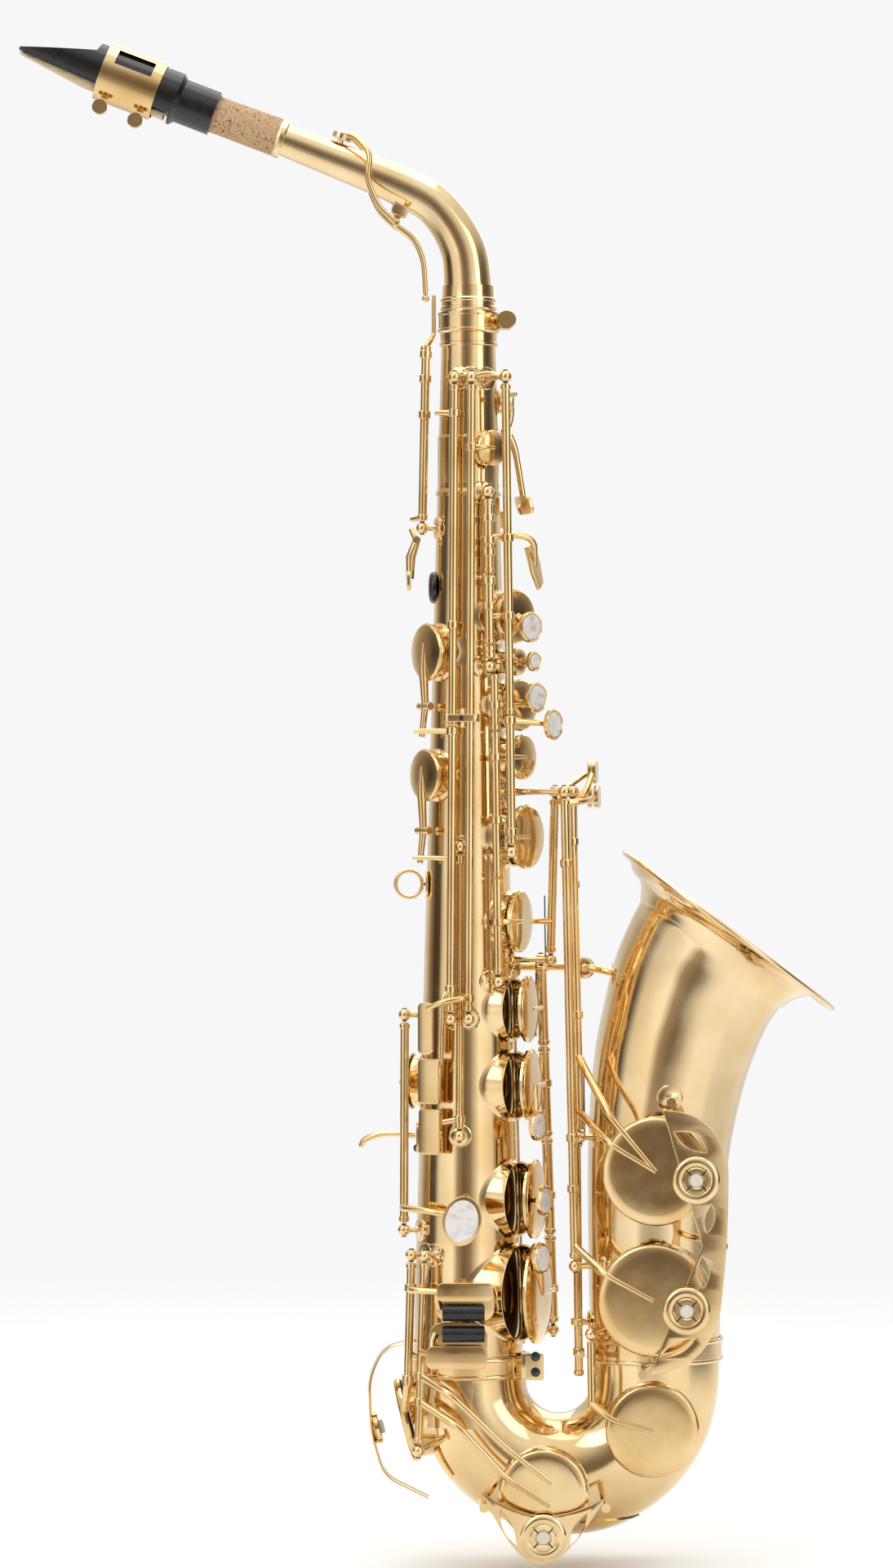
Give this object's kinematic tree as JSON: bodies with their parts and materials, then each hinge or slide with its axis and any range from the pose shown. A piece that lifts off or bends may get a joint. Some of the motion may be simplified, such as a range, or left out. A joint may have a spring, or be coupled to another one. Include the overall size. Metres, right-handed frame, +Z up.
{
  "type": "alto saxophone",
  "caption": "Curved alto saxophone: conical body, bow and flared bell, swivelling neck with mouthpiece, and sprung keys on hinge rods.",
  "frame": {"origin": "centre of the strap ring at the back of the body tube", "axes": "+Z up along the body tube, +X towards the bell, -Y the player's right side, where the low B, B flat and C cups face"},
  "size_m": [0.3788, 0.1228, 0.7024],
  "materials": {
    "lacquered_brass": "clear gold lacquer over polished brass, mirror gloss",
    "bell_brass": "clear gold lacquer over polished brass, mirror gloss",
    "neck_brass": "clear gold lacquer over polished brass, mirror gloss",
    "key_brass": "gold lacquered key work, gloss with darker seams",
    "hard_rubber": "polished black hard rubber",
    "cane": "dry cut cane with fine lengthwise grain",
    "cork": "matt sheet cork with dark flecks",
    "black_roller": "satin black rollers",
    "felt": "dense pale felt",
    "pearl": "white mother-of-pearl, gloss",
    "pad_leather": "brown kid leather pads",
    "blue_steel": "blued steel needle springs and screws"
  },
  "bodies": {
    "horn": {"body_tube": "lacquered_brass", "bow": "lacquered_brass", "bell": "bell_brass", "body_bow_clamp": "lacquered_brass", "bell_bow_ring": "lacquered_brass", "bell_brace": "lacquered_brass", "low_b_guard": "lacquered_brass", "low_c_guard": "lacquered_brass", "eb_guard": "lacquered_brass", "low_b_bumper": "felt", "low_bb_bumper": "felt", "low_c_bumper": "felt", "eb_bumper": "felt", "strap_ring": "lacquered_brass", "thumb_hook": "lacquered_brass", "thumb_rest": "hard_rubber", "rod_guide": "lacquered_brass"},
    "neck": {"neck_tube": "neck_brass", "neck_cork": "cork"},
    "mouthpiece": {"mouthpiece": "hard_rubber", "reed": "cane", "ligature": "key_brass"},
    "ligature_screw_front": {"ligature_screw_front": "key_brass"},
    "ligature_screw_rear": {"ligature_screw_rear": "key_brass"},
    "neck_screw": {"neck_screw": "key_brass"},
    "octave_thumb_lever": {"octave_thumb_lever": "key_brass"},
    "octave_pin_lever": {"octave_pin_lever": "key_brass"},
    "neck_octave_key": {"neck_octave_key": "key_brass"},
    "body_vent_key": {"body_vent_key": "key_brass"},
    "stack_link_rod": {"stack_link_rod": "key_brass"},
    "front_f_key": {"front_f_key": "key_brass"},
    "palm_d_key": {"palm_d_key": "key_brass"},
    "palm_eb_key": {"palm_eb_key": "key_brass"},
    "palm_f_key": {"palm_f_key": "key_brass"},
    "key_b": {"key_b": "key_brass"},
    "key_bis": {"key_bis": "key_brass"},
    "key_a": {"key_a": "key_brass"},
    "key_c_aux": {"key_c_aux": "key_brass"},
    "key_g": {"key_g": "key_brass"},
    "g_sharp_lever": {"g_sharp_lever": "key_brass"},
    "key_g_sharp": {"key_g_sharp": "key_brass"},
    "key_f": {"key_f": "key_brass"},
    "key_f_sharp": {"key_f_sharp": "key_brass"},
    "key_e": {"key_e": "key_brass"},
    "key_d": {"key_d": "key_brass"},
    "side_e_key": {"side_e_key": "key_brass"},
    "side_c_lever": {"side_c_lever": "key_brass"},
    "side_c_cup": {"side_c_cup": "key_brass"},
    "side_bb_lever": {"side_bb_lever": "key_brass"},
    "side_bb_cup": {"side_bb_cup": "key_brass"},
    "high_f_sharp_key": {"high_f_sharp_key": "key_brass"},
    "low_b_key": {"low_b_key": "key_brass"},
    "low_bb_key": {"low_bb_key": "key_brass"},
    "c_sharp_lever": {"c_sharp_lever": "key_brass"},
    "c_sharp_cup": {"c_sharp_cup": "key_brass"},
    "low_c_key": {"low_c_key": "key_brass"},
    "eb_key": {"eb_key": "key_brass"},
    "eb_roller": {"eb_roller": "black_roller"},
    "low_c_roller": {"low_c_roller": "black_roller"}
  },
  "joints": [
    {"name": "neck_swivel", "type": "hinge", "parent": "horn", "child": "neck", "pos_m": [0.0277, 0, 0.269], "axis": [0, 0, 1], "range_deg": [-25, 25]},
    {"name": "mouthpiece_slide", "type": "slide", "parent": "neck", "child": "mouthpiece", "axis": [-0.9341, 0, 0.357], "range_m": [-0.004, 0.01]},
    {"name": "ligature_screw_front_turn", "type": "hinge", "parent": "mouthpiece", "child": "ligature_screw_front", "pos_m": [-0.14334, 0, 0.36055], "axis": [0, 1, 0], "continuous": true},
    {"name": "ligature_screw_rear_turn", "type": "hinge", "parent": "mouthpiece", "child": "ligature_screw_rear", "pos_m": [-0.12699, 0, 0.3543], "axis": [0, 1, 0], "continuous": true},
    {"name": "neck_screw_turn", "type": "hinge", "parent": "horn", "child": "neck_screw", "pos_m": [0.0453, 0, 0.2615], "axis": [0, 1, 0], "continuous": true},
    {"name": "octave_thumb_hinge", "type": "hinge", "parent": "horn", "child": "octave_thumb_lever", "pos_m": [0.0036, 0, 0.16], "axis": [0, 1, 0], "range_deg": [-8, 0], "stiffness_Nm_per_rad": 0.04, "springref_deg": 11.46},
    {"name": "octave_pin_hinge", "type": "hinge", "parent": "horn", "child": "octave_pin_lever", "pos_m": [0.00794, -0.00602, 0.2502], "axis": [0.0202, 0.006, 0.9998], "range_deg": [0, 12]},
    {"name": "neck_octave_hinge", "type": "hinge", "parent": "neck", "child": "neck_octave_key", "pos_m": [-0.0051, 0, 0.311], "axis": [0, 1, 0], "range_deg": [0, 7]},
    {"name": "body_vent_hinge", "type": "hinge", "parent": "horn", "child": "body_vent_key", "pos_m": [0.0212, -0.0184, 0.2312], "axis": [0.0062, 0.0273, 0.9996], "range_deg": [-8, 0], "stiffness_Nm_per_rad": 0.04, "springref_deg": 11.46},
    {"name": "stack_link_hinge", "type": "hinge", "parent": "horn", "child": "stack_link_rod", "pos_m": [0.0448, -0.0224, 0.2312], "axis": [-0.0126, 0.0205, 0.9997], "range_deg": [0, 6]},
    {"name": "front_f_hinge", "type": "hinge", "parent": "horn", "child": "front_f_key", "pos_m": [0.0366, -0.01999, 0.1782], "axis": [-0.0108, 0.0365, 0.9993], "range_deg": [0, 7], "stiffness_Nm_per_rad": 0.04, "springref_deg": -11.46},
    {"name": "palm_d_hinge", "type": "hinge", "parent": "horn", "child": "palm_d_key", "pos_m": [0.03444, 0.01851, 0.197], "axis": [-0.9397, 0.342, 0], "range_deg": [0, 9], "stiffness_Nm_per_rad": 0.04, "springref_deg": -11.46},
    {"name": "palm_eb_hinge", "type": "hinge", "parent": "horn", "child": "palm_eb_key", "pos_m": [0.02556, 0.02036, 0.1688], "axis": [-0.9945, -0.1045, 0], "range_deg": [0, 9], "stiffness_Nm_per_rad": 0.04, "springref_deg": -11.46},
    {"name": "palm_f_hinge", "type": "hinge", "parent": "horn", "child": "palm_f_key", "pos_m": [0.04585, 0.00661, 0.211], "axis": [-0.342, 0.9397, 0], "range_deg": [0, 9], "stiffness_Nm_per_rad": 0.04, "springref_deg": -11.46},
    {"name": "b_hinge", "type": "hinge", "parent": "horn", "child": "key_b", "pos_m": [0.03698, -0.02128, 0.143], "axis": [-0.0108, 0.0365, 0.9993], "range_deg": [0, 16], "stiffness_Nm_per_rad": 0.04, "springref_deg": -11.46},
    {"name": "bis_hinge", "type": "hinge", "parent": "horn", "child": "key_bis", "pos_m": [0.03733, -0.02246, 0.1106], "axis": [-0.0108, 0.0365, 0.9993], "range_deg": [0, 14], "stiffness_Nm_per_rad": 0.04, "springref_deg": -11.46},
    {"name": "a_hinge", "type": "hinge", "parent": "horn", "child": "key_a", "pos_m": [0.0396, -0.02191, 0.0974], "axis": [-0.013, 0.0238, 0.9996], "range_deg": [0, 15], "stiffness_Nm_per_rad": 0.04, "springref_deg": -11.46},
    {"name": "c_aux_hinge", "type": "hinge", "parent": "horn", "child": "key_c_aux", "pos_m": [0.03995, -0.02254, 0.0708], "axis": [-0.013, 0.0238, 0.9996], "range_deg": [0, 13]},
    {"name": "g_hinge", "type": "hinge", "parent": "horn", "child": "key_g", "pos_m": [0.04672, -0.02553, 0.078], "axis": [-0.0126, 0.0205, 0.9997], "range_deg": [0, 12], "stiffness_Nm_per_rad": 0.04, "springref_deg": -11.46},
    {"name": "g_sharp_lever_hinge", "type": "hinge", "parent": "horn", "child": "g_sharp_lever", "pos_m": [0.06784, -0.004, 0.0396], "axis": [0.0256, 0, 0.9997], "range_deg": [0, 8], "stiffness_Nm_per_rad": 0.04, "springref_deg": -11.46},
    {"name": "g_sharp_hinge", "type": "hinge", "parent": "horn", "child": "key_g_sharp", "pos_m": [0.04083, -0.02415, 0.003], "axis": [-0.013, 0.0238, 0.9996], "range_deg": [-12, 0]},
    {"name": "f_hinge", "type": "hinge", "parent": "horn", "child": "key_f", "pos_m": [0.06297, 0.00774, -0.0758], "axis": [-0.0335, -0.0329, 0.9989], "range_deg": [-11, 0], "stiffness_Nm_per_rad": 0.04, "springref_deg": 14.32},
    {"name": "f_sharp_hinge", "type": "hinge", "parent": "horn", "child": "key_f_sharp", "pos_m": [0.06172, 0.00651, -0.0386], "axis": [-0.0335, -0.0329, 0.9989], "range_deg": [-11, 0]},
    {"name": "e_hinge", "type": "hinge", "parent": "horn", "child": "key_e", "pos_m": [0.0644, 0.00915, -0.1184], "axis": [-0.0335, -0.0329, 0.9989], "range_deg": [-11, 0], "stiffness_Nm_per_rad": 0.04, "springref_deg": 14.32},
    {"name": "d_hinge", "type": "hinge", "parent": "horn", "child": "key_d", "pos_m": [0.06593, 0.01065, -0.164], "axis": [-0.0335, -0.0329, 0.9989], "range_deg": [-11, 0], "stiffness_Nm_per_rad": 0.04, "springref_deg": 17.19},
    {"name": "side_e_hinge", "type": "hinge", "parent": "horn", "child": "side_e_key", "pos_m": [0.029, -0.0196, 0.2312], "axis": [0.0045, 0.0266, 0.9996], "range_deg": [-9, 0], "stiffness_Nm_per_rad": 0.04, "springref_deg": 11.46},
    {"name": "side_c_lever_hinge", "type": "hinge", "parent": "horn", "child": "side_c_lever", "pos_m": [0.02022, -0.0227, 0.0736], "axis": [0.0062, 0.0273, 0.9996], "range_deg": [-8, 0], "stiffness_Nm_per_rad": 0.04, "springref_deg": 11.46},
    {"name": "side_c_cup_hinge", "type": "hinge", "parent": "horn", "child": "side_c_cup", "pos_m": [0.00763, -0.01192, 0.0826], "axis": [0.5105, -0.8599, 0], "range_deg": [0, 8]},
    {"name": "side_bb_lever_hinge", "type": "hinge", "parent": "horn", "child": "side_bb_lever", "pos_m": [0.0239, -0.02129, 0.0143], "axis": [0.004, 0.0262, 0.9996], "range_deg": [-5, 0], "stiffness_Nm_per_rad": 0.04, "springref_deg": 11.46},
    {"name": "side_bb_cup_hinge", "type": "hinge", "parent": "horn", "child": "side_bb_cup", "pos_m": [0.00679, -0.01358, 0.025], "axis": [0.5446, -0.8387, 0], "range_deg": [0, 5]},
    {"name": "high_f_sharp_hinge", "type": "hinge", "parent": "horn", "child": "high_f_sharp_key", "pos_m": [-0.0019, -0.0092, -0.064], "axis": [0.0032, 0.0249, 0.9997], "range_deg": [0, 9], "stiffness_Nm_per_rad": 0.04, "springref_deg": -11.46},
    {"name": "low_b_hinge", "type": "hinge", "parent": "horn", "child": "low_b_key", "pos_m": [0.07546, -0.0145, 0.0396], "axis": [-0.0245, 0, 0.9997], "range_deg": [0, 7], "stiffness_Nm_per_rad": 0.1, "springref_deg": -17.19},
    {"name": "low_bb_hinge", "type": "hinge", "parent": "horn", "child": "low_bb_key", "pos_m": [0.07194, -0.024, 0.0396], "axis": [-0.0225, 0, 0.9997], "range_deg": [0, 7], "stiffness_Nm_per_rad": 0.1, "springref_deg": -17.19},
    {"name": "c_sharp_lever_hinge", "type": "hinge", "parent": "horn", "child": "c_sharp_lever", "pos_m": [0.07626, -0.005, 0.0396], "axis": [-0.0102, 0, 0.9999], "range_deg": [0, 8], "stiffness_Nm_per_rad": 0.1, "springref_deg": -17.19},
    {"name": "c_sharp_cup_hinge", "type": "hinge", "parent": "horn", "child": "c_sharp_cup", "pos_m": [0.084, -0.03, -0.21], "axis": [-0.0133, 0.0665, 0.9977], "range_deg": [-12, 0]},
    {"name": "low_c_hinge", "type": "hinge", "parent": "horn", "child": "low_c_key", "pos_m": [0.00741, -0.02399, -0.1744], "axis": [0.034, 0.0243, 0.9991], "range_deg": [0, 4.5], "stiffness_Nm_per_rad": 0.1, "springref_deg": -17.19},
    {"name": "eb_hinge", "type": "hinge", "parent": "horn", "child": "eb_key", "pos_m": [0.00121, -0.01949, -0.1744], "axis": [0.0283, 0.0266, 0.9992], "range_deg": [0, 8], "stiffness_Nm_per_rad": 0.1, "springref_deg": -17.19},
    {"name": "eb_roller_turn", "type": "hinge", "parent": "eb_key", "child": "eb_roller", "pos_m": [0.0253, -0.0372, -0.196], "axis": [1, 0, 0], "continuous": true},
    {"name": "low_c_roller_turn", "type": "hinge", "parent": "low_c_key", "child": "low_c_roller", "pos_m": [0.0253, -0.0372, -0.2056], "axis": [1, 0, 0], "continuous": true}
  ],
  "couplings": [
    {"joint": "octave_pin_hinge", "follows": "octave_thumb_hinge", "ratio": -1.5},
    {"joint": "neck_octave_hinge", "follows": "octave_thumb_hinge", "ratio": -0.875},
    {"joint": "c_aux_hinge", "follows": "a_hinge", "ratio": 0.86667},
    {"joint": "g_sharp_hinge", "follows": "g_sharp_lever_hinge", "ratio": -1.5},
    {"joint": "f_sharp_hinge", "follows": "f_hinge", "ratio": 1},
    {"joint": "stack_link_hinge", "follows": "f_hinge", "ratio": -0.54546},
    {"joint": "side_c_cup_hinge", "follows": "side_c_lever_hinge", "ratio": -1},
    {"joint": "side_bb_cup_hinge", "follows": "side_bb_lever_hinge", "ratio": -1},
    {"joint": "c_sharp_cup_hinge", "follows": "c_sharp_lever_hinge", "ratio": -1.5}
  ]
}
